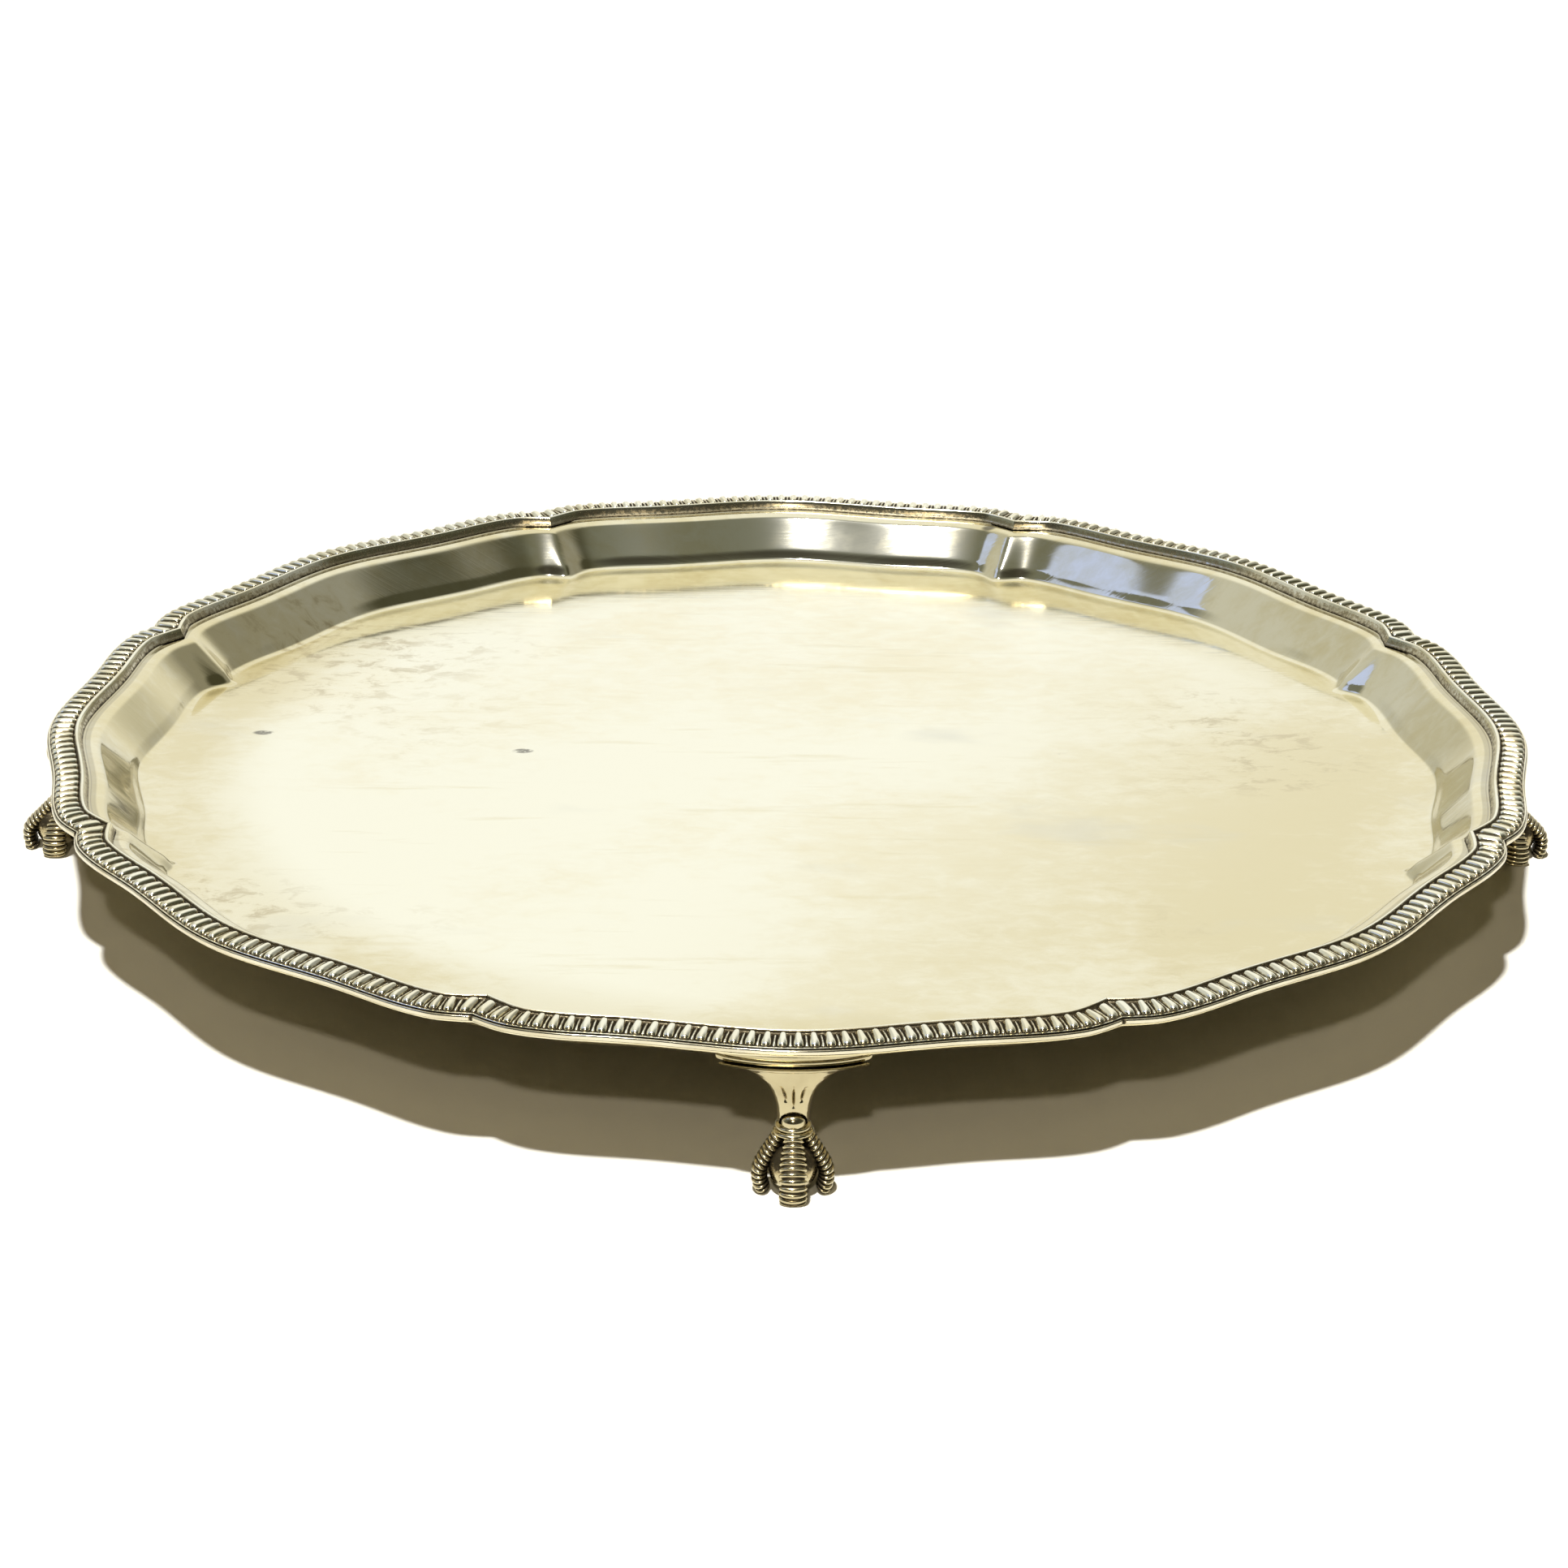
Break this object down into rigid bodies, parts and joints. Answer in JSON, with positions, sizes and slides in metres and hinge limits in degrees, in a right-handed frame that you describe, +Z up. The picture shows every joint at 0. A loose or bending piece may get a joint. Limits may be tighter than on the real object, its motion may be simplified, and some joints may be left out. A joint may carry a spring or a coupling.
{
  "type": "salver",
  "caption": "Round lobed silver serving salver with a raised wall, gadrooned border and claw-and-ball feet.",
  "frame": {"origin": "centre of the salver, on the table that its feet stand on", "axes": "+Z up; one foot, called front, towards -Y; right towards +X"},
  "size_m": [0.4308, 0.4308, 0.0386],
  "materials": {
    "sheet_silver": "polished silver sheet with fine scratches and light yellow tarnish",
    "cast_silver": "polished cast silver with dark oxidised recesses",
    "wire_silver": "polished drawn silver wire",
    "foot_silver": "polished cast silver, darker between the ribs of the claws"
  },
  "bodies": {
    "root": {"tray": "sheet_silver", "border_length_1": "cast_silver", "border_length_2": "cast_silver", "border_length_3": "cast_silver", "border_length_4": "cast_silver", "border_length_5": "cast_silver", "border_length_6": "cast_silver", "border_length_7": "cast_silver", "border_length_8": "cast_silver", "edge_wire_1": "wire_silver", "edge_wire_2": "wire_silver", "edge_wire_3": "wire_silver", "edge_wire_4": "wire_silver", "edge_wire_5": "wire_silver", "edge_wire_6": "wire_silver", "edge_wire_7": "wire_silver", "edge_wire_8": "wire_silver", "foot_pad_front": "sheet_silver", "foot_leg_front": "foot_silver", "foot_ball_front": "foot_silver", "foot_pad_right": "sheet_silver", "foot_leg_right": "foot_silver", "foot_ball_right": "foot_silver", "foot_pad_back": "sheet_silver", "foot_leg_back": "foot_silver", "foot_ball_back": "foot_silver", "foot_pad_left": "sheet_silver", "foot_leg_left": "foot_silver", "foot_ball_left": "foot_silver"}
  },
  "joints": []
}
